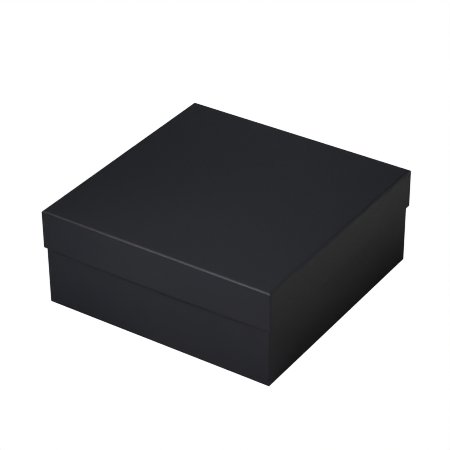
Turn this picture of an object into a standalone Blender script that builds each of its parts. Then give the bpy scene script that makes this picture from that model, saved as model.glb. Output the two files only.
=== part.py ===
"""Square two-piece gift box: a rigid board tray and a shallow lift-off lid, both covered in black paper.

Frame: metres, +Z up. The origin is the centre of the underside, on the surface the box stands on.
-Y is the front, +X is the right. The lid lifts straight up along +Z.

How it is built: each half is five separate greyboard panels, edge-glued. Paper stays hold the upright
corners. The tray is covered by one strip of paper, turned over the rim and under the floor, and a second
sheet hides the turn-under. The lid is covered by one sheet, turned over the rim and up to the lid's ceiling.
"""

import math

import bmesh
import bpy

MM = 0.001

# ---- driving dimensions -------------------------------------------------------------------
LID_SIDE = 254.0 * MM  # outside of the lid, both ways
TOTAL_HEIGHT = 102.8 * MM  # table to lid top, box closed
SKIRT = 40.4 * MM  # depth of the lid's wall, outside
STEP = 2.2 * MM  # how far the lid stands proud of the tray, each side

BOARD = 1.50 * MM  # greyboard
PAPER = 0.15 * MM  # covering and lining paper
STAY = 0.10 * MM  # corner stay tape
GLUE = 0.05 * MM  # glue line between two layers
REST_GAP = 0.20 * MM  # tray rim to lid ceiling, lid closed

EDGE_RUN = 3.40 * MM  # the lid's top edges are pressed round: how far in from the side that starts
EDGE_DROP = 1.80 * MM  # and how far down the side it ends
CORNER_R = 1.40 * MM  # outside radius of the upright corners
FOOT_R = 0.80 * MM  # outside radius of the tray's bottom edges
RIM_R = 0.40 * MM  # outside radius of the paper over each rim
RIM_EASE = 0.20 * MM  # easing of the board's own rim edges
INNER_R = 0.30 * MM  # paper creased into an inside corner

BASE_TURN_IN = 20.0 * MM  # paper turned down inside the tray
BASE_TURN_UNDER = 18.0 * MM  # paper turned under the tray
LID_TURN_ON = 8.0 * MM  # paper turned on to the lid's ceiling
BOTTOM_MARGIN = 3.0 * MM  # the bottom sheet stops this far inside the tray's edge
LINING_OVERLAP = 5.0 * MM  # wall lining over the end of the turn-in
LINING_FLANGE = 10.0 * MM  # wall lining turned on to the floor
LINING_MARGIN = 0.5 * MM  # gap round a flat lining
STAY_WIDTH = 12.0 * MM  # each leg of a corner stay

LID_TRAVEL = 100.0 * MM  # lift that takes the lid well clear of the tray

CORNER_SEGS = 4
EDGE_SEGS = 4
TOP_EDGE_SEGS = 6

# ---- levels and half-widths that follow from them ------------------------------------------
SKIN = PAPER + GLUE  # covering paper and the glue behind it
STAYED = PAPER + GLUE + STAY + GLUE  # covering paper over a stay

lid_half = LID_SIDE / 2
lid_board = lid_half - STAYED
lid_inner = lid_board - BOARD
lid_rim_z = TOTAL_HEIGHT - SKIRT
lid_top_hi = TOTAL_HEIGHT - SKIN
lid_top_lo = lid_top_hi - BOARD
lid_ceiling = lid_top_lo - 2 * SKIN

base_half = lid_half - STEP
base_board = base_half - STAYED
base_inner = base_board - BOARD
base_rim_z = lid_ceiling - REST_GAP
under_z = PAPER + GLUE  # lowest face of the turned-under paper
floor_lo = under_z + SKIN
floor_hi = floor_lo + BOARD
wall_hi = base_rim_z - SKIN

GREY = (0.30, 0.285, 0.26, 1.0)
BLACK = (0.021, 0.0215, 0.0245, 1.0)
LINING = (0.019, 0.0195, 0.0215, 1.0)
KRAFT = (0.62, 0.58, 0.50, 1.0)


def clear_scene():
    for obj in list(bpy.data.objects):
        bpy.data.objects.remove(obj, do_unlink=True)


def material(name, colour, roughness):
    mat = bpy.data.materials.new(name)
    mat.use_nodes = True
    shader = mat.node_tree.nodes["Principled BSDF"]
    shader.inputs["Base Color"].default_value = colour
    shader.inputs["Roughness"].default_value = roughness
    shader.inputs["Metallic"].default_value = 0.0
    mat.diffuse_color = colour
    return mat


def link(name, bm, mat, parent=None, at=(0.0, 0.0, 0.0)):
    """One named object from a bmesh, placed at `at` and parented to `parent`."""
    bmesh.ops.recalc_face_normals(bm, faces=bm.faces)
    if bm.calc_volume(signed=True) < 0:
        bmesh.ops.reverse_faces(bm, faces=bm.faces)
    mesh = bpy.data.meshes.new(name)
    bm.to_mesh(mesh)
    bm.free()
    mesh.materials.append(mat)
    mesh.shade_smooth()
    mesh.set_sharp_from_angle(angle=math.radians(32))
    obj = bpy.data.objects.new(name, mesh)
    bpy.context.scene.collection.objects.link(obj)
    obj.location = at
    if parent is not None:
        # the parent carries the joint: the piece keeps its place in the world
        obj.parent = parent
        obj.location = tuple(a - b for a, b in zip(at, parent.location))
    return obj


# ---- closed shapes from loops of equal count -----------------------------------------------------
def skin_between(bm, a, b):
    for i in range(len(a)):
        j = (i + 1) % len(a)
        bm.faces.new((a[i], a[j], b[j], b[i]))


def stack(loops, joined=False):
    """Skins consecutive loops of points. joined closes the last on to the first; otherwise both ends are filled."""
    bm = bmesh.new()
    rows = [[bm.verts.new(point) for point in loop] for loop in loops]
    for a, b in zip(rows, rows[1:]):
        skin_between(bm, a, b)
    if joined:
        skin_between(bm, rows[-1], rows[0])
    else:
        bm.faces.new(rows[0])
        bm.faces.new(rows[-1])
    return bm


def square_loop(half, radius, z):
    """Points round a square of that half-width, corners rounded to radius."""
    loop = []
    for k, (sx, sy) in enumerate(((1, 1), (-1, 1), (-1, -1), (1, -1))):
        cx, cy = sx * (half - radius), sy * (half - radius)
        for i in range(CORNER_SEGS + 1):
            a = math.pi / 2 * (k + i / CORNER_SEGS)
            loop.append((cx + radius * math.cos(a), cy + radius * math.sin(a), z))
    return loop


def arc(cx, cz, radius, start, end, segments=EDGE_SEGS):
    """Points of an arc in (half-width, z), from start to end degrees; 0 is outward, 90 is up."""
    points = []
    for i in range(segments + 1):
        a = math.radians(start + (end - start) * i / segments)
        points.append((cx + radius * math.cos(a), cz + radius * math.sin(a)))
    return points


def top_edge(side, top, run, drop, start, end, segments=TOP_EDGE_SEGS):
    """Points of the lid's pressed top edge, a quarter of an ellipse that meets the side and the top squarely.
    start and end are the surface's tilt in degrees: 0 at the side, 90 on the top."""
    points = []
    for i in range(segments + 1):
        a = math.radians(start + (end - start) * i / segments)
        c, s = run * math.cos(a), drop * math.sin(a)
        n = math.hypot(c, s)
        points.append((side - run + run * c / n, top - drop + drop * s / n))
    return points


# ---- boards ------------------------------------------------------------------------------------
def flat_board(half, lo, thickness):
    bm = bmesh.new()
    bmesh.ops.create_cube(bm, size=1.0)
    bmesh.ops.scale(bm, vec=(2 * half, 2 * half, thickness), verts=bm.verts)
    bmesh.ops.translate(bm, vec=(0, 0, lo + thickness / 2), verts=bm.verts)
    return bm


def turned(points, quarters):
    """Points turned about +Z by quarter turns, exactly."""
    for _ in range(quarters % 4):
        points = [(-y, x, z) for x, y, z in points]
    return points


def wall_loop(outer, level, between):
    """Outline of the right-hand wall panel at one level: (z, inset of the outer side, inset of the inner side).
    A panel that fits between two others has square ends; the others carry the box's rounded corners."""
    z, out_by, in_by = level
    inner = outer - BOARD
    if between:
        end = inner - GLUE
        return [(outer - out_by, -end, z), (outer - out_by, end, z), (inner + in_by, end, z), (inner + in_by, -end, z)]
    radius = CORNER_R - STAYED - out_by
    centre = outer - (CORNER_R - STAYED)
    loop = [(inner + in_by, -(outer - out_by), z)]
    for sign, first in ((-1, -90), (1, 0)):
        for i in range(CORNER_SEGS + 1):
            a = math.radians(first + 90 * i / CORNER_SEGS)
            loop.append((centre + radius * math.cos(a), sign * centre + radius * math.sin(a), z))
    loop.append((inner + in_by, outer - out_by, z))
    return loop


def wall_levels(lo, hi, foot_radius):
    """Levels from foot to rim. The foot is rounded on the outside; the rim is eased on both sides."""
    levels = [(lo, 0.0, 0.0)]
    if foot_radius:
        levels = [(z, foot_radius - h, 0.0) for h, z in arc(0.0, lo + foot_radius, foot_radius, -90, 0, 3)]
    levels += [(z, RIM_EASE - h, RIM_EASE - h) for h, z in arc(0.0, hi - RIM_EASE, RIM_EASE, 0, 90, 2)]
    return levels


def wall_boards(prefix, outer, foot, rim, foot_radius, mat, parent):
    """Front and back panels run full length; left and right panels fit between them."""
    up = rim > foot
    levels = wall_levels(0.0, abs(rim - foot), foot_radius)
    levels = [(foot + z if up else foot - z, a, b) for z, a, b in levels]
    for side, quarters in (("right", 0), ("back", 1), ("left", 2), ("front", 3)):
        between = side in ("left", "right")
        loops = [turned(wall_loop(outer, level, between), quarters) for level in levels]
        link(f"{prefix}_{side}_board", stack(loops), mat, parent)


# ---- folded paper ------------------------------------------------------------------------------
def corner_radius(outer, half):
    """Corners of nested layers share one centre, down to the crease of an inside corner."""
    return max(CORNER_R - (outer - half), INNER_R)


def folded_paper(profile, outer, joined):
    """Paper that follows a profile of (half-width, z[, corner radius]) round the four sides."""
    loops = []
    for point in profile:
        half, z = point[0], point[1]
        radius = point[2] if len(point) > 2 else corner_radius(outer, half)
        loops.append(square_loop(half, radius, z))
    return stack(loops, joined)


def lid_wrap():
    """Outer skin from the top edge down, over the rim and up inside; then the glued side, back to the top."""
    outer, back = lid_half, lid_half - PAPER
    face, face_back = lid_inner - SKIN, lid_inner - GLUE  # turned-in paper on the inside of the walls
    ceiling, ceiling_back = lid_top_lo - SKIN, lid_top_lo - GLUE
    end = face - LID_TURN_ON
    t = PAPER
    shown = top_edge(outer, TOTAL_HEIGHT, EDGE_RUN, EDGE_DROP, 90, 0)
    shown += arc(outer - RIM_R, lid_rim_z + RIM_R, RIM_R, 0, -90, 3)
    shown += arc(face + RIM_R, lid_rim_z + RIM_R, RIM_R, -90, -180, 3)
    shown += arc(face - INNER_R, ceiling - INNER_R, INNER_R, 0, 90, 2)
    shown += [(end, ceiling)]
    hidden = [(end, ceiling_back)]
    hidden += arc(face - INNER_R, ceiling - INNER_R, INNER_R + t, 90, 0, 2)
    hidden += arc(face + RIM_R, lid_rim_z + RIM_R, RIM_R - t, -180, -90, 3)
    hidden += arc(outer - RIM_R, lid_rim_z + RIM_R, RIM_R - t, -90, 0, 3)
    hidden += top_edge(back, TOTAL_HEIGHT - t, EDGE_RUN - t, EDGE_DROP - t, 0, 90)
    assert abs(face_back - (face + t)) < 1e-9 and abs(back - (outer - t)) < 1e-9
    return folded_paper(shown + hidden, outer, joined=False)


def base_wrap():
    """Under the floor, round the foot, up the wall, over the rim and down inside; then back along the glued side."""
    outer = base_half
    face = base_inner - SKIN
    under_end = outer - BASE_TURN_UNDER
    in_end = base_rim_z - BASE_TURN_IN
    t = PAPER
    shown = [(under_end, under_z)]
    shown += arc(outer - FOOT_R, under_z + FOOT_R, FOOT_R, -90, 0, 3)
    shown += arc(outer - RIM_R, base_rim_z - RIM_R, RIM_R, 0, 90, 3)
    shown += arc(face + RIM_R, base_rim_z - RIM_R, RIM_R, 90, 180, 3)
    shown += [(face, in_end)]
    hidden = [(face + t, in_end)]
    hidden += arc(face + RIM_R, base_rim_z - RIM_R, RIM_R - t, 180, 90, 3)
    hidden += arc(outer - RIM_R, base_rim_z - RIM_R, RIM_R - t, 90, 0, 3)
    hidden += arc(outer - FOOT_R, under_z + FOOT_R, FOOT_R - t, 0, -90, 3)
    hidden += [(under_end, under_z + t)]
    return folded_paper(shown + hidden, outer, joined=True)


def base_wall_lining():
    """Sheet on the inside of the walls, over the end of the turn-in, its foot turned on to the floor."""
    face = base_inner - 2 * SKIN
    top = base_rim_z - BASE_TURN_IN + LINING_OVERLAP
    floor = floor_hi + SKIN
    t, r = PAPER, INNER_R
    end = face - LINING_FLANGE
    shown = [(face, top, r)]
    shown += [(h, z, r) for h, z in arc(face - r, floor + r, r, 0, -90, 2)]
    shown += [(end, floor, r)]
    hidden = [(end, floor - t, r)]
    hidden += [(h, z, r + t) for h, z in arc(face - r, floor + r, r + t, -90, 0, 2)]
    hidden += [(face + t, top, r + t)]
    return folded_paper(shown + hidden, base_half, joined=True)


def corner_stay(board_half, lo, hi, quadrant):
    """Tape round one upright corner: an L in plan with a rounded bend, extruded up."""
    r_back = CORNER_R - STAYED + GLUE
    back, front = board_half + GLUE, board_half + GLUE + STAY
    centre = back - r_back
    reach = board_half - STAY_WIDTH
    inner, outer = [(back, reach)], [(front, reach)]
    for i in range(CORNER_SEGS + 1):
        a = math.pi / 2 * i / CORNER_SEGS
        inner.append((centre + r_back * math.cos(a), centre + r_back * math.sin(a)))
        outer.append((centre + (r_back + STAY) * math.cos(a), centre + (r_back + STAY) * math.sin(a)))
    inner.append((reach, back))
    outer.append((reach, front))
    bm = bmesh.new()
    low = [bm.verts.new((x, y, lo)) for x, y in outer]
    low_in = [bm.verts.new((x, y, lo)) for x, y in inner]
    faces = [
        bm.faces.new((low[i], low[i + 1], low_in[i + 1], low_in[i])) for i in range(len(low) - 1)
    ]
    made = bmesh.ops.extrude_face_region(bm, geom=faces)
    top = [g for g in made["geom"] if isinstance(g, bmesh.types.BMVert)]
    bmesh.ops.translate(bm, vec=(0, 0, hi - lo), verts=top)
    quarter = ("back_right", "back_left", "front_left", "front_right").index(quadrant)
    turn = math.pi / 2 * quarter
    for v in bm.verts:
        x, y = v.co.x, v.co.y
        v.co.x, v.co.y = x * math.cos(turn) - y * math.sin(turn), x * math.sin(turn) + y * math.cos(turn)
    return bm


def main():
    clear_scene()
    board = material("greyboard", GREY, 0.9)
    cover = material("black_covering_paper", BLACK, 0.6)
    lining = material("black_lining_paper", LINING, 0.75)
    tape = material("corner_tape", KRAFT, 0.85)

    # ---- tray: the fixed half ----
    tray = bpy.data.objects.new("tray", None)
    bpy.context.scene.collection.objects.link(tray)

    link("base_floor_board", flat_board(base_inner - GLUE, floor_lo, BOARD), board, tray)
    wall_boards("base", base_board, floor_lo, wall_hi, FOOT_R - STAYED, board, tray)
    for corner in ("front_left", "front_right", "back_left", "back_right"):
        bm = corner_stay(base_board, 1.2 * MM, wall_hi - 0.5 * MM, corner)
        link(f"base_corner_stay_{corner}", bm, tape, tray)
    link("base_wrap", base_wrap(), cover, tray)
    link("base_bottom_sheet", flat_board(base_half - BOTTOM_MARGIN, 0.0, PAPER), cover, tray)
    link("base_wall_lining", base_wall_lining(), lining, tray)
    flat = base_inner - 2 * SKIN - LINING_MARGIN
    link("base_floor_lining", flat_board(flat, floor_hi + SKIN + GLUE, PAPER), lining, tray)

    # ---- lid: everything below is carried by the lid's own axis, straight up through the centre ----
    lid = bpy.data.objects.new("lid_lift_axis", None)
    lid.location = (0.0, 0.0, lid_rim_z)
    bpy.context.scene.collection.objects.link(lid)

    profile = [(lid_board, lid_top_lo)]
    profile += top_edge(lid_board, lid_top_hi, EDGE_RUN - STAYED, EDGE_DROP - STAYED, 0, 90)
    link("lid_top_board", folded_paper(profile, lid_half, joined=False), board, lid)
    wall_boards("lid", lid_board, lid_top_lo - GLUE, lid_rim_z + SKIN, 0.0, board, lid)
    for corner in ("front_left", "front_right", "back_left", "back_right"):
        bm = corner_stay(lid_board, lid_rim_z + SKIN + 0.5 * MM, lid_top_lo - 0.1 * MM, corner)
        link(f"lid_corner_stay_{corner}", bm, tape, lid)
    link("lid_wrap", lid_wrap(), cover, lid)
    flat = lid_inner - SKIN - LINING_MARGIN
    link("lid_top_lining", flat_board(flat, lid_ceiling, PAPER), lining, lid)


main()
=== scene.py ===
"""Looks for the square lift-off-lid gift box: folded black papers over greyboard, on a plain white sweep.

Every length is in metres in the part's own frame: +Z up, the box standing on z = 0, -Y its front and +X its
right. The covering papers and linings are rebuilt here as folded sheets with their paper edges, corner laps
and slight unevenness. The lid's front and back boards and its corner tapes are bowed copies, because those two
walls stand out a little at the middle; the other boards and tapes stay as they are and only get materials.
"""

import math

import bpy
import numpy as np
from mathutils import Matrix, Vector


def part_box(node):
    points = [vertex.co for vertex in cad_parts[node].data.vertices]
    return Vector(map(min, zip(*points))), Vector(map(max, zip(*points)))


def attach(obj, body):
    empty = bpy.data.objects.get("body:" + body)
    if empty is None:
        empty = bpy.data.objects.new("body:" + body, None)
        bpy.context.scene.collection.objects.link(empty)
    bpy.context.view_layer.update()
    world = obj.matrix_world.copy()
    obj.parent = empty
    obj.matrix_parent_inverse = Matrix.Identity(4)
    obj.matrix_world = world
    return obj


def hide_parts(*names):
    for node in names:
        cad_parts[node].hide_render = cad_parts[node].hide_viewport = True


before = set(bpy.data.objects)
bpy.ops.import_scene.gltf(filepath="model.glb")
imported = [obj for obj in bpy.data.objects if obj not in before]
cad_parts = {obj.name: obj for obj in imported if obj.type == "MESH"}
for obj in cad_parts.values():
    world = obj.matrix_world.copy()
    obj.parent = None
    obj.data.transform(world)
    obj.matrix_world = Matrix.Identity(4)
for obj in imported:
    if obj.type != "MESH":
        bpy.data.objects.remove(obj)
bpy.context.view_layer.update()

MM = 0.001

# ---- the box, as the frame has it --------------------------------------------------------------
BOARD, PAPER, GLUE = 1.5 * MM, 0.15 * MM, 0.05 * MM
SKIN = PAPER + GLUE
CORNER_R, FOOT_R, RIM_R, CREASE_R = 1.4 * MM, 0.8 * MM, 0.4 * MM, 0.3 * MM

lid_low, lid_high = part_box("lid_wrap")
tray_low, tray_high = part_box("base_wrap")
OUTER, HEIGHT, LID_RIM = lid_high.x, lid_high.z, lid_low.z  # half of the lid's side, its top and its rim
TRAY, TRAY_RIM, UNDER = tray_high.x, tray_high.z, tray_low.z
LID_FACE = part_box("lid_right_board")[0].x - SKIN  # paper on the inside of the lid's walls
LID_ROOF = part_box("lid_top_board")[0].z - SKIN  # paper turned on to the lid's ceiling
TRAY_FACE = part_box("base_right_board")[0].x - SKIN  # turned-in paper inside the tray's walls
LINING_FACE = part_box("base_wall_lining")[1].x - PAPER
LINING_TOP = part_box("base_wall_lining")[1].z
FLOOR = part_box("base_wall_lining")[0].z + PAPER  # wall lining's flange on the floor


# ---- small irregularities -----------------------------------------------------------------------
def swell(p, seed, length, rounds=5):
    """A smooth, repeatable unevenness from -1 to 1 over points p, with features about `length` apart."""
    rng = np.random.default_rng(seed)
    total = np.zeros(len(p))
    for k in range(rounds):
        direction = rng.normal(size=3)
        direction /= np.linalg.norm(direction)
        pitch = length * (0.7 + 0.9 * rng.random())
        total += np.sin(2 * math.pi * (p @ direction) / pitch + 2 * math.pi * rng.random())
    return total / rounds


def ease(x, start, end):
    t = np.clip((x - start) / (end - start), 0.0, 1.0)
    return t * t * (3 - 2 * t)


# ---- folded sheets ------------------------------------------------------------------------------
# A sheet is a row of stations, each a loop round the box: half-width, height, corner radius, the way the
# surface faces there (out, up) and a name for the stretch. Between stations it is skinned.
SIDES = ("back", "left", "front", "right")  # the straight that follows each corner, anticlockwise
ARC_STEPS = 6
SPACING = (0.15, 0.45, 0.50, 1.2, 3.0, 6.0, 6.05, 9.0, 12.5, 14.0, 14.05, 18.0, 26.0, 40.0, 58.0, 78.0, 100.0)


def flat(points, face, out, up):
    """Stations from (half, z, radius) along a flat stretch."""
    return [(h, z, r, out, up, face) for h, z, r in points]


def bend(h, z, radius, start, end, steps, face, corner, inward=False):
    """Stations round a fold about (h, z), from start to end degrees; 0 faces out and 90 up.
    corner gives the loop's own corner radius from its half-width; inward is the hollow side of a fold."""
    made = []
    for i in range(steps + 1):
        a = math.radians(start + (end - start) * i / steps)
        c, s = math.cos(a), math.sin(a)
        sign = -1 if inward else 1
        half = h + radius * c
        made.append((half, z + radius * s, max(corner(half), 0.0), sign * c, sign * s, face))
    return made


def soft_fold(side, top, run, drop, corner_r, steps, under=False):
    """Stations of heavy paper pulled over a board's pressed edge, from the flat top to the wall at `side`: a
    quarter of an ellipse. under gives the glued face instead, from the wall back up."""
    made = []
    for i in range(steps + 1):
        tilt = math.pi / 2 * i / steps
        c, s = math.sin(tilt), math.cos(tilt)
        n = math.hypot(run * c, drop * s)
        half, level = side - run + run * run * c / n, top - drop + drop * drop * s / n
        radius = corner_r * (half - side + run) / run
        if under:
            made.append((half - PAPER * c, level - PAPER * s, max(radius - PAPER * c, 0.0), c, s, "glued"))
        else:
            made.append((half, level, radius, c, s, "edge"))
    return made[::-1] if under else made


def columns(half, radius, spacing):
    a = half - radius
    near = [-a + d for d in spacing]
    return near + [0.0] + [-u for u in reversed(near)]


def folded_sheet(name, stations, first, last, relief, spacing=SPACING, shift=None, warp=None):
    """A closed thin solid. first and last say how each end closes: "patch" fills it with a grid, "join" meets
    the other end. relief(face, places, points, a) lifts the surface; shift(face, side, u, a, z) bends the
    columns, so that a paper edge can run at an angle; warp(points) moves both faces of the sheet together."""
    spacing = [d * MM for d in spacing]
    verts, rows = [], []
    for half, z, radius, out, up, face in stations:
        row, places = [], []
        a = half - radius
        for k, side in enumerate(SIDES):
            turn = math.pi / 2 * k
            sx, sy = ((1, 1), (-1, 1), (-1, -1), (1, -1))[k]
            for i in range(ARC_STEPS + 1):
                t = turn + math.pi / 2 * i / ARC_STEPS
                c, s = math.cos(t), math.sin(t)
                at = (sx * a + radius * c, sy * a + radius * s, z)
                share = i / ARC_STEPS
                places.append(("corner", k, share, at, (out * c, out * s, up)))
            c, s = math.cos(turn + math.pi / 2), math.sin(turn + math.pi / 2)
            for u in columns(half, radius, spacing):
                v = shift(face, side, u, a, z) if shift else u
                at = (c * half - s * v, s * half + c * v, z)
                places.append((side, k, v, at, (out * c, out * s, up)))
        point = np.array([p[3] for p in places])
        normal = np.array([p[4] for p in places])
        lift = relief(face, places, point, a) if relief else np.zeros(len(places))
        point = point + normal * lift[:, None]
        if warp:
            point = warp(point)
        collapsed = {}
        for i, place in enumerate(places):
            if place[0] == "corner" and radius < 1e-9:
                if place[1] in collapsed:
                    row.append(collapsed[place[1]])
                    continue
                collapsed[place[1]] = len(verts)
            row.append(len(verts))
            verts.append(tuple(point[i]))
        rows.append(row)
    faces = []

    def skin(a, b):
        for i in range(len(a)):
            j = (i + 1) % len(a)
            ring = []
            for v in (a[i], a[j], b[j], b[i]):
                if v not in ring:
                    ring.append(v)
            if len(ring) > 2:
                faces.append(tuple(ring))

    for a, b in zip(rows, rows[1:]):
        skin(a, b)
    if last == "join":
        skin(rows[-1], rows[0])

    def patch(row, station):
        """Fills a loop whose corners have shrunk to points with a grid through its columns."""
        half, z, radius, out, up, face = station
        us = [-half] + columns(half, radius, spacing) + [half]
        n = len(us)
        span = ARC_STEPS + 1
        stride = span + n - 2
        grid = {}
        for k in range(4):
            corner = row[k * stride]
            straight = [corner] + row[k * stride + span : (k + 1) * stride] + [row[((k + 1) % 4) * stride]]
            for i, v in enumerate(straight):
                # along the back x falls, along the left y falls, then they rise again
                at = ((n - 1 - i, n - 1), (0, n - 1 - i), (i, 0), (n - 1, i))[k]
                grid[at] = v
        inside = [(i, j) for i in range(1, n - 1) for j in range(1, n - 1)]
        point = np.array([(us[i], us[j], z) for i, j in inside])
        places = [("patch", 0, 0.0, tuple(p), (0.0, 0.0, up)) for p in point]
        lift = relief(face, places, point, half) if relief else np.zeros(len(inside))
        point[:, 2] += up * lift
        for at, p in zip(inside, point):
            grid[at] = len(verts)
            verts.append(tuple(p))
        for i in range(n - 1):
            for j in range(n - 1):
                faces.append((grid[i, j], grid[i + 1, j], grid[i + 1, j + 1], grid[i, j + 1]))

    if first == "patch":
        patch(rows[0], stations[0])
    if last == "patch":
        patch(rows[-1], stations[-1])

    import bmesh

    mesh = bpy.data.meshes.new(name)
    mesh.from_pydata(verts, [], faces)
    bm = bmesh.new()
    bm.from_mesh(mesh)
    bmesh.ops.recalc_face_normals(bm, faces=bm.faces)
    if bm.calc_volume(signed=True) < 0:
        bmesh.ops.reverse_faces(bm, faces=bm.faces)
    open_edges = sum(len(e.link_faces) != 2 for e in bm.edges)
    bm.to_mesh(mesh)
    bm.free()
    if open_edges:
        raise RuntimeError(f"{name} has {open_edges} open edges")
    mesh.shade_smooth()
    mesh.set_sharp_from_angle(angle=math.radians(30))
    obj = bpy.data.objects.new(name, mesh)
    bpy.context.scene.collection.objects.link(obj)
    return obj


def nested(centre):
    """Corner radius of a loop whose corners turn about the same upright line."""
    return lambda half: half - centre


def creased(half):
    return CREASE_R


def levels(lo, hi, step=9.0 * MM, guard=0.35 * MM):
    """Heights along a flat wall, with one close to each end so that the folds stay crisp."""
    count = max(2, round(abs(hi - lo) / step))
    s = 1 if hi > lo else -1
    inner = [lo + s * guard + (hi - lo - 2 * s * guard) * i / count for i in range(count + 1)]
    return inner


def corner_distance(places, a):
    """Distance of each point from the nearest corner's tangent, 0 on the corner itself."""
    return np.array([a - abs(p[2]) if p[0] in SIDES else 0.0 for p in places])


def on(places, *sides):
    return np.array([1.0 if p[0] in sides else 0.0 for p in places])


# ---- lid covering -------------------------------------------------------------------------------
EDGE_RUN, EDGE_DROP = 3.4 * MM, 1.8 * MM  # the pressed top edges of the lid
LID_RIM_R = 0.5 * MM
BOW = 1.5 * MM  # the long free edges of the lid's front and back walls stand out this far at their middle


def bowed(p):
    """Where points on the lid go when its front and back walls bow outwards below the top board."""
    along = 1 - np.clip(np.abs(p[:, 0]) / (OUTER - BOARD), 0, 1) ** 2
    down = np.clip((LID_ROOF - p[:, 2]) / (LID_ROOF - LID_RIM), 0, 1.02) ** 1.15
    near = ease(np.abs(p[:, 1]), OUTER - 9 * MM, OUTER - 3 * MM)
    moved = p.copy()
    moved[:, 1] += np.sign(p[:, 1]) * BOW * along * down * near
    return moved


def bowed_copy(name, node):
    """The node's own solid, cut into short lengths and bowed with the wall it belongs to."""
    import bmesh

    bm = bmesh.new()
    bm.from_mesh(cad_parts[node].data)
    low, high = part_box(node)
    for axis, step in ((0, 12 * MM), (2, 8 * MM)):
        cuts = math.ceil((high[axis] - low[axis]) / step)
        for i in range(1, cuts):
            at, face = Vector((0, 0, 0)), Vector((0, 0, 0))
            at[axis], face[axis] = low[axis] + (high[axis] - low[axis]) * i / cuts, 1.0
            everything = bm.verts[:] + bm.edges[:] + bm.faces[:]
            bmesh.ops.bisect_plane(bm, geom=everything, dist=1e-7, plane_co=at, plane_no=face)
    mesh = bpy.data.meshes.new(name)
    bm.to_mesh(mesh)
    bm.free()
    spots = np.array([v.co for v in mesh.vertices])
    for v, to in zip(mesh.vertices, bowed(spots)):
        v.co = to
    mesh.shade_smooth()
    mesh.set_sharp_from_angle(angle=math.radians(30))
    obj = bpy.data.objects.new(name, mesh)
    bpy.context.scene.collection.objects.link(obj)
    return obj


def lid_covering():
    core = OUTER - CORNER_R
    over = soft_fold(OUTER, HEIGHT, EDGE_RUN, EDGE_DROP, CORNER_R, 12)
    stations = [over[0][:5] + ("top",)] + over[1:]
    stations += flat([(OUTER, z, CORNER_R) for z in levels(over[-1][1], LID_RIM + LID_RIM_R)], "skirt", 1, 0)
    stations += bend(OUTER - LID_RIM_R, LID_RIM + LID_RIM_R, LID_RIM_R, 0, -90, 6, "rim", nested(core))
    stations += bend(LID_FACE + RIM_R, LID_RIM + RIM_R, RIM_R, -90, -180, 5, "rim_in", creased)
    stations += flat([(LID_FACE, z, CREASE_R) for z in levels(LID_RIM + RIM_R, LID_ROOF - CREASE_R)], "inside", -1, 0)
    stations += bend(LID_FACE - CREASE_R, LID_ROOF - CREASE_R, CREASE_R, 0, 90, 4, "crease", creased, inward=True)
    stations += flat([(LID_FACE - 8.0 * MM, LID_ROOF, CREASE_R)], "roof", 0, -1)
    t = PAPER
    stations += flat([(LID_FACE - 8.0 * MM, LID_ROOF + t, CREASE_R)], "glued", 0, 1)
    stations += bend(LID_FACE - CREASE_R, LID_ROOF - CREASE_R, CREASE_R + t, 90, 0, 3, "glued", creased)
    stations += bend(LID_FACE + RIM_R, LID_RIM + RIM_R, RIM_R - t, 180, 270, 3, "glued", creased)
    stations += bend(OUTER - LID_RIM_R, LID_RIM + LID_RIM_R, LID_RIM_R - t, -90, 0, 3, "glued", nested(core))
    stations += soft_fold(OUTER, HEIGHT, EDGE_RUN, EDGE_DROP, CORNER_R, 6, under=True)

    def relief(face, places, p, a):
        if face == "glued":
            return np.zeros(len(places))
        d = corner_distance(places, a)
        crown = (1 - np.clip(np.abs(p[:, 0]) / OUTER, 0, 1) ** 2) * (1 - np.clip(np.abs(p[:, 1]) / OUTER, 0, 1) ** 2)
        lift = 0.035 * MM * swell(p, 11, 95 * MM) + 0.010 * MM * swell(p, 12, 21 * MM)
        if face in ("top", "edge"):
            lift = lift + 0.16 * MM * crown * (face == "top")
        if face in ("skirt", "edge", "rim"):
            height = ease(p[:, 2], HEIGHT - 0.3 * MM, HEIGHT - EDGE_DROP - 0.6 * MM) * ease(
                p[:, 2], LID_RIM - 0.05 * MM, LID_RIM + LID_RIM_R + 0.2 * MM
            )
            # left and right: the panel's cut edge lies over the paper that comes round from the front and back
            lap = ease(d, 0.45 * MM, 0.50 * MM) * (0.085 - 0.065 * ease(d, 11.5 * MM, 17 * MM)) * MM
            lift = lift + on(places, "left", "right") * lap * height
            # front and back: the corner tape ends under the paper
            lift = lift - on(places, "front", "back") * 0.03 * MM * ease(d, 10.5 * MM, 16 * MM) * height
        if face in ("inside", "rim_in", "crease"):
            reach = 0.5 * MM + 0.28 * np.clip(p[:, 2] - LID_RIM, 0, 1)
            lift = lift * 0.4 + on(places, "left", "right") * 0.04 * MM * ease(d - reach, 0.0, 0.05 * MM)
        if face == "roof":
            lift = lift * 0.3
        return lift

    def shift(face, side, u, a, z):
        """The two columns at 6 mm follow the angled cut of the turn-in."""
        if face in ("inside", "rim_in", "crease", "roof") and side in ("left", "right"):
            d = a - abs(u)
            for k, at in enumerate((6.0 * MM, 6.05 * MM)):
                if abs(d - at) < 1e-7:
                    d = 0.5 * MM + 0.28 * max(z - LID_RIM, 0.0) + k * 0.05 * MM
                    return math.copysign(a - d, u)
        return u

    # the columns that the angled cut would cross are kept out of its way
    spacing = (0.15, 0.45, 0.50, 6.0, 6.05, 12.5, 14.0, 18.0, 26.0, 40.0, 58.0, 78.0, 100.0)
    return folded_sheet("lid_covering_paper", stations, "patch", "patch", relief, spacing, shift, bowed)


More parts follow.
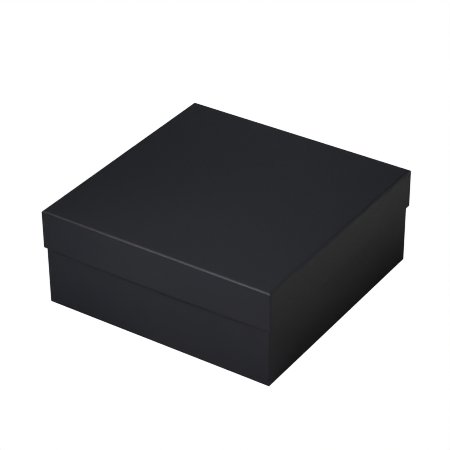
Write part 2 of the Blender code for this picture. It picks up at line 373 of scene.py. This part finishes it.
# ---- tray covering ------------------------------------------------------------------------------
def tray_covering():
    core = TRAY - CORNER_R
    end_under, end_in = TRAY - 18.0 * MM, TRAY_RIM - 20.0 * MM
    t = PAPER
    stations = flat([(end_under, UNDER, CREASE_R), (TRAY - 6 * MM, UNDER, CREASE_R), (TRAY - FOOT_R - 0.3 * MM, UNDER, 0.6 * MM)], "under", 0, -1)
    stations += bend(TRAY - FOOT_R, UNDER + FOOT_R, FOOT_R, -90, 0, 6, "foot", nested(core))
    stations += flat([(TRAY, z, CORNER_R) for z in levels(UNDER + FOOT_R, TRAY_RIM - RIM_R)], "wall", 1, 0)
    stations += bend(TRAY - RIM_R, TRAY_RIM - RIM_R, RIM_R, 0, 90, 5, "rim", nested(core))
    stations += bend(TRAY_FACE + RIM_R, TRAY_RIM - RIM_R, RIM_R, 90, 180, 5, "rim_in", creased)
    stations += flat([(TRAY_FACE, z, CREASE_R) for z in levels(TRAY_RIM - RIM_R, end_in, 5 * MM)], "inside", -1, 0)
    stations += flat([(TRAY_FACE, end_in, CREASE_R)], "inside", -1, 0)
    stations += flat([(TRAY_FACE + t, end_in, CREASE_R)], "glued", 1, 0)
    stations += bend(TRAY_FACE + RIM_R, TRAY_RIM - RIM_R, RIM_R - t, 180, 90, 3, "glued", creased)
    stations += bend(TRAY - RIM_R, TRAY_RIM - RIM_R, RIM_R - t, 90, 0, 3, "glued", nested(core))
    stations += bend(TRAY - FOOT_R, UNDER + FOOT_R, FOOT_R - t, 0, -90, 4, "glued", nested(core))
    stations += flat([(end_under, UNDER + t, CREASE_R)], "glued", 0, 1)

    def relief(face, places, p, a):
        if face == "glued":
            return np.zeros(len(places))
        d = corner_distance(places, a)
        covered = ease(p[:, 2], LID_RIM - 1 * MM, LID_RIM + 3 * MM)  # the lid leaves little room there
        lift = (0.035 * MM * swell(p, 21, 90 * MM) + 0.010 * MM * swell(p, 22, 19 * MM)) * (1 - 0.6 * covered)
        if face in ("wall", "foot", "rim"):
            height = ease(p[:, 2], TRAY_RIM, TRAY_RIM - RIM_R) * ease(p[:, 2], UNDER, UNDER + FOOT_R)
            # the tape ends under the paper
            lift = lift - on(places, *SIDES) * 0.03 * MM * ease(d, 10.5 * MM, 16 * MM) * height
            # the strip's two ends meet in a lap on the back, near the left corner
            u = np.array([q[2] if q[0] == "back" else -1.0 for q in places])
            lap = on(places, "back") * ease(u, a - 14.05 * MM, a - 14.0 * MM)
            left = on(places, "left") * (1 - ease(np.array([q[2] + a for q in places]), 0.5 * MM, 4 * MM))
            corner = np.array([1.0 if q[0] == "corner" and q[1] == 1 else 0.0 for q in places])
            lift = lift + (lap + left + corner) * (0.09 - 0.04 * covered) * MM * height
        if face in ("inside", "rim_in"):
            reach = 0.5 * MM + 0.35 * np.clip(TRAY_RIM - p[:, 2], 0, 1)
            lift = lift * 0.5 + on(places, "left", "right") * 0.06 * MM * ease(d - reach, 0.0, 0.05 * MM)
        if face == "under":
            lift = np.abs(lift) * 0.2 + on(places, "front", "back") * 0.05 * MM
        return lift

    def shift(face, side, u, a, z):
        if face in ("inside", "rim_in") and side in ("left", "right"):
            d = a - abs(u)
            for k, at in enumerate((6.0 * MM, 6.05 * MM)):
                if abs(d - at) < 1e-7:
                    d = 0.5 * MM + 0.35 * max(TRAY_RIM - z, 0.0) + k * 0.05 * MM
                    return math.copysign(a - d, u)
        return u

    spacing = (0.15, 0.45, 6.0, 6.05, 11.0, 14.0, 14.05, 18.0, 26.0, 40.0, 58.0, 78.0, 100.0)
    return folded_sheet("tray_covering_paper", stations, None, "join", relief, spacing, shift)


# ---- linings ------------------------------------------------------------------------------------
def wall_lining():
    top = LINING_TOP
    t, r = PAPER, CREASE_R
    end = LINING_FACE - 10.0 * MM
    stations = flat([(LINING_FACE + 0.04 * MM, top, r), (LINING_FACE, top - 0.05 * MM, r)], "edge", -1, 0)
    stations += flat([(LINING_FACE, z, r) for z in levels(top - 0.1 * MM, FLOOR + r, 9 * MM)], "wall", -1, 0)
    stations += bend(LINING_FACE - r, FLOOR + r, r, 0, -90, 5, "crease", creased, inward=True)
    stations += flat([(end, FLOOR, r)], "floor", 0, 1)
    stations += flat([(end, FLOOR - t, r)], "glued", 0, -1)
    stations += bend(LINING_FACE - r, FLOOR + r, r + t, -90, 0, 4, "glued", lambda h: r + t)
    stations += flat([(LINING_FACE + t, top, r + t)], "glued", 1, 0)

    def relief(face, places, p, a):
        if face == "glued":
            return np.zeros(len(places))
        lift = 0.03 * MM * (swell(p, 31, 80 * MM) + 1) + 0.008 * MM * swell(p, 32, 17 * MM)
        # the strip's ends lap in the back left corner, on the back wall
        u = np.array([q[2] if q[0] == "back" else -1.0 for q in places])
        lap = on(places, "back") * ease(u, a - 9.05 * MM, a - 9.0 * MM) * 0.07 * MM
        return lift * 0.6 + lap * (face in ("wall", "edge"))

    spacing = (0.15, 0.6, 3.0, 9.0, 9.05, 14.0, 26.0, 40.0, 58.0, 78.0, 100.0)
    return folded_sheet("tray_wall_lining_paper", stations, None, "join", relief, spacing)


def loose_sheet(name, half, lo, up, seed, rise, corner=0.8 * MM):
    """A flat sheet with softened cut edges. up is +1 if its shown side faces up; rise is how far it stands
    off what it is glued to, at most."""
    t, e = PAPER, 0.03 * MM
    face_z, back_z = (lo + t, lo) if up > 0 else (lo, lo + t)
    s = 1 if up > 0 else -1
    stations = flat([(half - 2.5 * MM, face_z, 0.0), (half - 1.2 * MM, face_z, 0.0)], "face", 0, s)
    stations += flat([(half - e, face_z, corner)], "face", 0, s)
    stations += flat([(half, face_z - s * e, corner), (half, back_z + s * e, corner)], "cut", 1, 0)
    stations += flat([(half - e, back_z, corner)], "back", 0, -s)
    stations += flat([(half - 1.2 * MM, back_z, 0.0)], "back", 0, -s)

    def relief(face, places, p, a):
        if face != "face":
            return np.zeros(len(places))
        inside = ease(half - np.maximum(np.abs(p[:, 0]), np.abs(p[:, 1])), 0.0, 12 * MM)
        return rise * inside * (0.5 + 0.5 * swell(p, seed, 70 * MM))

    spacing = (0.4, 3.0, 10.0, 20.0, 32.0, 46.0, 62.0, 80.0, 100.0)
    return folded_sheet(name, stations, "patch", "patch", relief, spacing)


# ---- materials ----------------------------------------------------------------------------------
class Nodes:
    """Short names for building a node tree."""

    def __init__(self, name):
        self.mat = bpy.data.materials.new(name)
        self.mat.use_nodes = True
        self.tree = self.mat.node_tree
        self.shader = self.tree.nodes["Principled BSDF"]
        where = self.add("ShaderNodeTexCoord").outputs
        self.place, self.facing = where["Object"], where["Normal"]

    def add(self, kind, **settings):
        node = self.tree.nodes.new(kind)
        for key, value in settings.items():
            if key.startswith("in_"):
                node.inputs[key[3:].replace("_", " ")].default_value = value
            else:
                setattr(node, key, value)
        return node

    def link(self, a, b):
        self.tree.links.new(a, b)

    def stretched(self, scale, turn=(0.0, 0.0, 0.0)):
        node = self.add("ShaderNodeMapping")
        node.inputs["Scale"].default_value = scale
        node.inputs["Rotation"].default_value = turn
        self.link(self.place, node.inputs["Vector"])
        return node.outputs["Vector"]

    def noise(self, scale, detail=4.0, rough=0.55, where=None, warp=0.0):
        node = self.add("ShaderNodeTexNoise")
        node.inputs["Scale"].default_value = scale
        node.inputs["Detail"].default_value = detail
        node.inputs["Roughness"].default_value = rough
        node.inputs["Distortion"].default_value = warp
        self.link(where or self.place, node.inputs["Vector"])
        return node.outputs["Fac"]

    def ramp(self, value, lo, hi, to_lo=0.0, to_hi=1.0, clamp=True):
        node = self.add("ShaderNodeMapRange")
        node.clamp = clamp
        for key, number in (("From Min", lo), ("From Max", hi), ("To Min", to_lo), ("To Max", to_hi)):
            node.inputs[key].default_value = number
        self.link(value, node.inputs["Value"])
        return node.outputs["Result"]

    def math(self, kind, a, b):
        node = self.add("ShaderNodeMath", operation=kind)
        for i, x in enumerate((a, b)):
            if isinstance(x, (int, float)):
                node.inputs[i].default_value = x
            else:
                self.link(x, node.inputs[i])
        return node.outputs["Value"]

    def mix(self, factor, a, b):
        node = self.add("ShaderNodeMix", data_type="RGBA")
        for name, x in (("A_Color", a), ("B_Color", b)):
            socket = next(s for s in node.inputs if s.identifier == name)
            if isinstance(x, tuple):
                socket.default_value = (*x, 1.0)
            else:
                self.link(x, socket)
        self.link(factor, node.inputs["Factor"])
        return next(s for s in node.outputs if s.type == "RGBA")

    def bump(self, height, strength, distance, under=None):
        node = self.add("ShaderNodeBump")
        node.inputs["Strength"].default_value = strength
        node.inputs["Distance"].default_value = distance
        self.link(height, node.inputs["Height"])
        if under is not None:
            self.link(under, node.inputs["Normal"])
        return node.outputs["Normal"]


def on_folds(n):
    """1 where the surface turns from one of the box's directions to another, 0 on its flat faces."""
    split = n.add("ShaderNodeSeparateXYZ")
    n.link(n.facing, split.inputs["Vector"])
    most = None
    for axis in "XYZ":
        part = n.math("POWER", split.outputs[axis], 2.0)
        most = part if most is None else n.math("MAXIMUM", most, part)
    return n.ramp(most, 0.90, 0.55)


def paper(name, dark, light, rough, specular, grain=1.0, worn=(0.05, 0.05, 0.052)):
    """Matte paper dyed through: fine fibres, a little cloudiness that also shifts its hue, roughness that
    varies with both, and folds that are rubbed a little paler and smoother in places."""
    n = Nodes(name)
    cloud = n.noise(95.0, 3.0, 0.5)
    mottle = n.noise(800.0, 5.0, 0.62, warp=0.2)
    tooth = n.noise(4200.0, 3.0, 0.6)
    # fibres lie every way; three stretched noises at different angles stand for them
    fibres = None
    for scale, turn in (((500, 4200, 4200), (0.3, 0.2, 0.5)), ((4200, 520, 4200), (0.1, 0.6, -0.4)), ((4200, 4200, 560), (0.7, -0.3, 0.9))):
        one = n.noise(1.0, 2.0, 0.5, where=n.stretched(scale, turn))
        fibres = one if fibres is None else n.math("MAXIMUM", fibres, one)
    fleck = n.ramp(fibres, 0.62, 0.80)
    tone = n.math("ADD", n.math("MULTIPLY", cloud, 0.35), n.math("MULTIPLY", mottle, 0.65))
    tone = n.ramp(n.math("ADD", tone, n.math("MULTIPLY", fleck, 0.10)), 0.32, 0.72)
    body = n.mix(tone, dark, light)
    middle = [(x + y) / 2 for x, y in zip(dark, light)]
    hue = n.noise(170.0, 4.0, 0.6, warp=0.5)
    body = n.mix(n.ramp(hue, 0.52, 0.68, 0.0, 0.5), body, (middle[0] * 1.07, middle[1] * 0.95, middle[2] * 1.05))
    body = n.mix(n.ramp(hue, 0.48, 0.32, 0.0, 0.5), body, (middle[0] * 0.94, middle[1] * 1.03, middle[2] * 1.04))
    rubbed = n.math("MULTIPLY", on_folds(n), n.ramp(n.noise(260.0, 5.0, 0.7, warp=0.4), 0.46, 0.66))
    n.link(n.mix(n.math("MULTIPLY", rubbed, 0.14), body, worn), n.shader.inputs["Base Color"])
    wear = n.math("ADD", n.math("MULTIPLY", mottle, 0.50), n.math("MULTIPLY", cloud, 0.10))
    wear = n.math("SUBTRACT", n.math("ADD", wear, rough - 0.30), n.math("MULTIPLY", rubbed, 0.05))
    n.link(wear, n.shader.inputs["Roughness"])
    height = n.math("ADD", n.math("MULTIPLY", tooth, 0.45), n.math("MULTIPLY", fibres, 0.55))
    first = n.bump(mottle, min(1.0, 0.5 * grain), 0.00008)
    n.link(n.bump(height, min(1.0, 0.6 * grain), 0.00003, first), n.shader.inputs["Normal"])
    n.shader.inputs["Specular IOR Level"].default_value = specular
    n.shader.inputs["Metallic"].default_value = 0.0
    return n.mat


def greyboard(name):
    """Solid recycled board: grey-brown, speckled with ink and fibre, with faint plies on its cut edges."""
    n = Nodes(name)
    cloud = n.noise(140.0, 4.0, 0.6)
    speck = n.noise(2100.0, 4.0, 0.65)
    ply = n.noise(1.0, 3.0, 0.5, where=n.stretched((90, 90, 5200)))
    tone = n.math("ADD", n.math("MULTIPLY", cloud, 0.5), n.math("MULTIPLY", ply, 0.5))
    body = n.mix(n.ramp(tone, 0.35, 0.65), (0.21, 0.195, 0.17), (0.36, 0.34, 0.305))
    n.link(n.mix(n.ramp(speck, 0.66, 0.74), body, (0.09, 0.09, 0.10)), n.shader.inputs["Base Color"])
    n.link(n.ramp(speck, 0.3, 0.7, 0.82, 0.95), n.shader.inputs["Roughness"])
    n.link(n.bump(n.math("ADD", speck, ply), 0.35, 0.00006), n.shader.inputs["Normal"])
    n.shader.inputs["Specular IOR Level"].default_value = 0.25
    return n.mat


def tape(name):
    n = Nodes(name)
    cloud = n.noise(220.0, 4.0, 0.6)
    fibre = n.noise(1.0, 3.0, 0.6, where=n.stretched((900, 5200, 2600), (0.2, 0.5, 0.1)))
    tone = n.math("ADD", n.math("MULTIPLY", cloud, 0.5), n.math("MULTIPLY", fibre, 0.5))
    n.link(n.mix(n.ramp(tone, 0.35, 0.65), (0.52, 0.46, 0.37), (0.66, 0.61, 0.52)), n.shader.inputs["Base Color"])
    n.link(n.ramp(fibre, 0.3, 0.7, 0.7, 0.86), n.shader.inputs["Roughness"])
    n.link(n.bump(fibre, 0.3, 0.00004), n.shader.inputs["Normal"])
    n.shader.inputs["Specular IOR Level"].default_value = 0.3
    return n.mat


COVER = dict(dark=(0.0106, 0.0109, 0.0117), light=(0.0174, 0.0176, 0.0188), rough=0.45, specular=0.42)
cover = paper("black_covering_paper", **COVER)
lining = paper("black_lining_paper", dark=(0.0155, 0.0158, 0.0172), light=(0.0225, 0.0232, 0.0256), rough=0.62, specular=0.36, grain=1.6)
board = greyboard("greyboard")
kraft = tape("corner_tape")

for node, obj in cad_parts.items():
    chosen = board if node.endswith("_board") else kraft if "_stay_" in node else lining if "lining" in node else cover
    obj.data.materials.clear()
    obj.data.materials.append(chosen)


def flat_lining(name, node, up, seed, rise):
    low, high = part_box(node)
    return loose_sheet(name, high.x, low.z, up, seed, rise)


for maker, mat, body, node, slot in (
    (lid_covering, cover, "lid", "lid_wrap", "covering_paper"),
    (tray_covering, cover, "base", "base_wrap", "covering_paper"),
    (wall_lining, lining, "base", "base_wall_lining", "lining_paper"),
    (lambda: flat_lining("tray_floor_lining_paper", "base_floor_lining", 1, 41, 0.08 * MM), lining, "base", "base_floor_lining", "lining_paper"),
    (lambda: flat_lining("lid_ceiling_lining_paper", "lid_top_lining", -1, 42, 0.06 * MM), lining, "lid", "lid_top_lining", "lining_paper"),
    (lambda: flat_lining("tray_bottom_paper", "base_bottom_sheet", -1, 43, 0.0), cover, "base", "base_bottom_sheet", "covering_paper"),
):
    piece = maker()
    piece.data.materials.append(mat)
    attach(piece, body)
    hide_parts(node)

for node in [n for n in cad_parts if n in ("lid_front_board", "lid_back_board") or n.startswith("lid_corner_stay_")]:
    piece = bowed_copy("bowed_" + node, node)
    piece.data.materials.append(board if node.endswith("_board") else kraft)
    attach(piece, "lid")
    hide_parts(node)

# ---- stage --------------------------------------------------------------------------------------
scene = bpy.context.scene
scene.view_settings.view_transform = "Standard"
scene.view_settings.look = "None"
scene.view_settings.exposure = 0.0
scene.view_settings.gamma = 1.0
scene.cycles.filter_width = 1.0  # the photograph's edges are crisp

FLOOR_ALBEDO = 0.3


def white_floor():
    """A seamless white sweep: the camera sees it evenly white, and the box gets its soft bounce."""
    mesh = bpy.data.meshes.new("floor")
    s = 12.0
    mesh.from_pydata([(-s, -s, 0), (s, -s, 0), (s, s, 0), (-s, s, 0)], [], [(0, 1, 2, 3)])
    obj = bpy.data.objects.new("floor", mesh)
    scene.collection.objects.link(obj)
    obj.location = (0, 0, -0.0002)
    mat = bpy.data.materials.new("white_sweep")
    mat.use_nodes = True
    tree = mat.node_tree
    tree.nodes.clear()
    out = tree.nodes.new("ShaderNodeOutputMaterial")
    glow = tree.nodes.new("ShaderNodeEmission")
    glow.inputs["Color"].default_value = (1, 1, 1, 1)
    matte = tree.nodes.new("ShaderNodeBsdfDiffuse")
    matte.inputs["Color"].default_value = (FLOOR_ALBEDO,) * 3 + (1,)
    mixed = tree.nodes.new("ShaderNodeMixShader")
    path = tree.nodes.new("ShaderNodeLightPath")
    tree.links.new(path.outputs["Is Camera Ray"], mixed.inputs["Fac"])
    tree.links.new(matte.outputs["BSDF"], mixed.inputs[1])
    tree.links.new(glow.outputs["Emission"], mixed.inputs[2])
    tree.links.new(mixed.outputs["Shader"], out.inputs["Surface"])
    mesh.materials.append(mat)
    return obj


def room(ambient):
    """White to the camera, a dim even glow to everything else."""
    world = bpy.data.worlds.new("room")
    scene.world = world
    world.use_nodes = True
    tree = world.node_tree
    tree.nodes.clear()
    out = tree.nodes.new("ShaderNodeOutputWorld")
    seen = tree.nodes.new("ShaderNodeBackground")
    seen.inputs["Color"].default_value = (1, 1, 1, 1)
    glow = tree.nodes.new("ShaderNodeBackground")
    glow.inputs["Color"].default_value = (*ambient, 1)
    mixed = tree.nodes.new("ShaderNodeMixShader")
    path = tree.nodes.new("ShaderNodeLightPath")
    tree.links.new(path.outputs["Is Camera Ray"], mixed.inputs["Fac"])
    tree.links.new(glow.outputs["Background"], mixed.inputs[1])
    tree.links.new(seen.outputs["Background"], mixed.inputs[2])
    tree.links.new(mixed.outputs["Shader"], out.inputs["Surface"])


CENTRE = Vector((0.0, 0.0, 0.05))


def softbox(name, azimuth, elevation, distance, size, power, colour):
    """A square soft light aimed at the box. Azimuth 0 stands in front of it, 90 to its right."""
    a, e = math.radians(azimuth), math.radians(elevation)
    at = CENTRE + distance * Vector((math.sin(a) * math.cos(e), -math.cos(a) * math.cos(e), math.sin(e)))
    at.z = max(at.z, size / 2 * math.cos(e) + 0.02)  # a low one stands on the floor
    data = bpy.data.lights.new(name, "AREA")
    data.shape = "SQUARE"
    data.size = size
    data.energy = power
    data.color = colour
    obj = bpy.data.objects.new(name, data)
    scene.collection.objects.link(obj)
    obj.location = at
    obj.rotation_mode = "QUATERNION"
    obj.rotation_quaternion = (CENTRE - at).to_track_quat("-Z", "Y")
    obj.visible_camera = False
    return obj


def strip(name, azimuth, distance, width, power):
    """A low strip light for a wall that the camera doesn't see. It stays below the box's top, so that it
    doesn't reach it."""
    obj = softbox(name, azimuth, 0, distance, width, power, (0.88, 0.92, 1.0))
    obj.data.shape = "RECTANGLE"
    obj.data.size_y = 0.075
    obj.location.z = CENTRE.z
    obj.rotation_quaternion = (CENTRE - obj.location).to_track_quat("-Z", "Y")
    return obj


def pool(name, x, y, radius, power, colour):
    """A lamp straight above the sweep beside the box. The box only gets what the sweep throws back."""
    height = 1.0
    data = bpy.data.lights.new(name, "SPOT")
    data.energy = power
    data.color = colour
    data.spot_size = 2 * math.atan2(radius, height)
    data.spot_blend = 0.6
    data.shadow_soft_size = 0.08
    obj = bpy.data.objects.new(name, data)
    scene.collection.objects.link(obj)
    obj.location = (x, y, height)
    obj.visible_camera = False
    return obj


def beam(name, azimuth, elevation, distance, x, radius, power, colour):
    """A lamp whose soft-edged beam falls on the front wall, at x, and leaves its ends a little darker."""
    data = bpy.data.lights.new(name, "SPOT")
    data.energy = power
    data.color = colour
    data.spot_size = 2 * math.atan2(radius, distance)
    data.spot_blend = 1.0
    data.shadow_soft_size = 0.12
    obj = bpy.data.objects.new(name, data)
    scene.collection.objects.link(obj)
    a, e = math.radians(azimuth), math.radians(elevation)
    obj.location = CENTRE + distance * Vector((math.sin(a) * math.cos(e), -math.cos(a) * math.cos(e), math.sin(e)))
    obj.rotation_mode = "QUATERNION"
    obj.rotation_quaternion = (Vector((x, -OUTER, 0.08)) - obj.location).to_track_quat("-Z", "Y")
    obj.visible_camera = False
    return obj


white_floor()
room((0.0, 0.0, 0.0))
softbox("front_wide", 350, 55, 1.10, 0.30, 0.973, (0.899, 1.0, 0.930))
softbox("front", 0, 40, 0.60, 0.35, 2.296, (0.727, 0.770, 1.0))
softbox("left_high", 300, 60, 0.60, 0.35, 0.594, (1.0, 0.943, 0.893))
softbox("top_left", 270, 80, 0.60, 0.35, 0.340, (0.852, 0.892, 1.0))
softbox("right_low", 80, 10, 0.45, 0.25, 0.273, (1.0, 0.966, 0.847))
softbox("back_right", 150, 28, 2.60, 1.80, 6.404, (0.993, 0.979, 1.0))
softbox("back", 200, 33, 1.20, 0.40, 0.207, (0.812, 0.852, 1.0))
softbox("back_left_low", 214, 24, 1.20, 0.40, 0.156, (0.803, 0.853, 1.0))
beam("front_beam", 350, 50, 0.60, 0.05, 0.10, 9.795, (1.0, 0.871, 0.811))
beam("front_beam_left", 350, 50, 0.60, -0.02, 0.10, 4.405, (1.0, 0.981, 0.996))
pool("right_pool", 0.30, 0.05, 0.12, 30.21, (1.0, 0.993, 0.909))
pool("back_right_pool", 0.30, 0.20, 0.12, 44.62, (1.0, 0.977, 0.891))
pool("far_right_pool", 0.45, 0.35, 0.25, 34.61, (1.0, 0.997, 0.980))
pool("corner_pool", 0.28, -0.28, 0.12, 81.61, (0.989, 0.988, 1.0))
pool("front_left_pool", -0.10, -0.32, 0.12, 50.32, (1.0, 0.994, 0.995))
pool("front_right_pool", 0.10, -0.32, 0.12, 47.25, (0.937, 0.845, 1.0))
strip("left_strip", 270, 0.42, 0.50, 0.24)
strip("back_strip", 180, 0.42, 0.50, 0.24)


# ---- camera -------------------------------------------------------------------------------------
def camera(azimuth, elevation, roll, distance, across, above, lens):
    """Looks at a point near the box's centre: azimuth 0 looks along +Y, roll turns the frame."""
    a, e, r = (math.radians(x) for x in (azimuth, elevation, roll))
    back = Vector((math.sin(a) * math.cos(e), -math.cos(a) * math.cos(e), math.sin(e)))
    right = Vector((math.cos(a), math.sin(a), 0.0))
    up = back.cross(right)
    right, up = right * math.cos(r) + up * math.sin(r), up * math.cos(r) - right * math.sin(r)
    data = bpy.data.cameras.new("camera")
    data.sensor_width = 36.0
    data.lens = lens
    data.clip_start, data.clip_end = 0.05, 60.0
    obj = bpy.data.objects.new("camera", data)
    scene.collection.objects.link(obj)
    place = back * distance + right * across + up * above
    turn = Matrix((right, up, back)).transposed().to_4x4()
    obj.matrix_world = Matrix.Translation(place) @ turn
    scene.camera = obj


SIDE = 2 * OUTER
camera(33.9038, 32.298, -0.5244, 7.1662 * SIDE, -0.0193 * SIDE, 0.2114 * SIDE, 1859.11 * 36 / 450)

bpy.context.view_layer.update()
